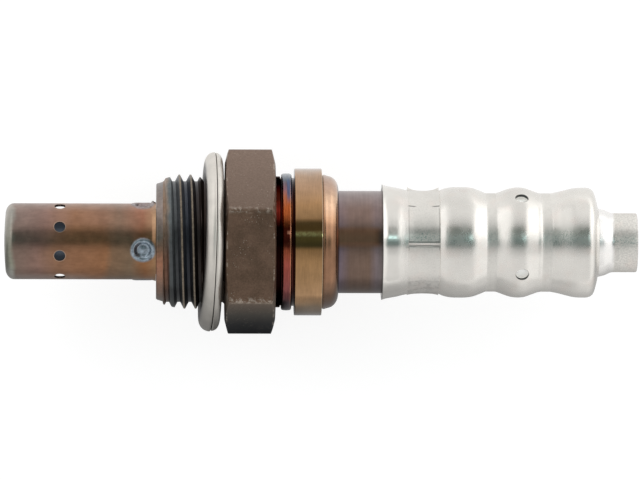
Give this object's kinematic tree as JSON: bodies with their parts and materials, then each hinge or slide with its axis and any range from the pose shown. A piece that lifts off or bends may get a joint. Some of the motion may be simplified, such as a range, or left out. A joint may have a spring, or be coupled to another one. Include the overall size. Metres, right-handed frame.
{
  "type": "oxygen sensor",
  "caption": "Screw-in exhaust gas sensor: holed protector tube, threaded shell with hexagon and captive gasket, brown casing and crimped bright sleeve with a cable outlet.",
  "frame": {"origin": "on the sensor's axis, in the plane of the hexagon's seat face that presses on the gasket", "axes": "+X along the axis towards the lead end, the protector tube points to -X; +Z is the side that the picture looks down on, +Y is up in the picture"},
  "size_m": [0.0848, 0.0248, 0.0245],
  "materials": {
    "tinted_steel": "heat-tinted drawn steel tube, brown to orange tan",
    "dark_steel": "darker heat-tinted steel liner",
    "shell_steel": "plated steel browned by heat, brighter on the collar",
    "gasket_steel": "pale folded sheet",
    "zirconia": "unglazed pale ceramic with a grey electrode",
    "alumina": "fine white ceramic",
    "soft_metal": "dull soft sheet metal",
    "talc": "pressed mineral powder",
    "brown_steel": "smooth drawn tube browned by heat",
    "bright_steel": "bright formed stainless sheet",
    "porous_white": "matt white porous tube",
    "spring_steel": "bright spring sheet",
    "seal_rubber": "matt black heat-proof rubber"
  },
  "bodies": {
    "root": {"outer_protector": "tinted_steel", "inner_protector": "dark_steel", "metal_shell": "shell_steel", "seat_gasket": "gasket_steel", "sensing_element": "zirconia", "heater_rod": "alumina", "front_packing": "soft_metal", "support_ring": "alumina", "element_cushion": "soft_metal", "talc_filler": "talc", "insulating_bush": "alumina", "squeeze_ring": "soft_metal", "inner_casing": "brown_steel", "outer_sleeve": "bright_steel", "vent_filter": "porous_white", "terminal_block": "alumina", "block_clip": "spring_steel", "heater_terminal_a": "spring_steel", "heater_terminal_b": "spring_steel", "collar_terminal": "spring_steel", "plug_terminal": "spring_steel", "lead_grommet": "seal_rubber"}
  },
  "joints": []
}
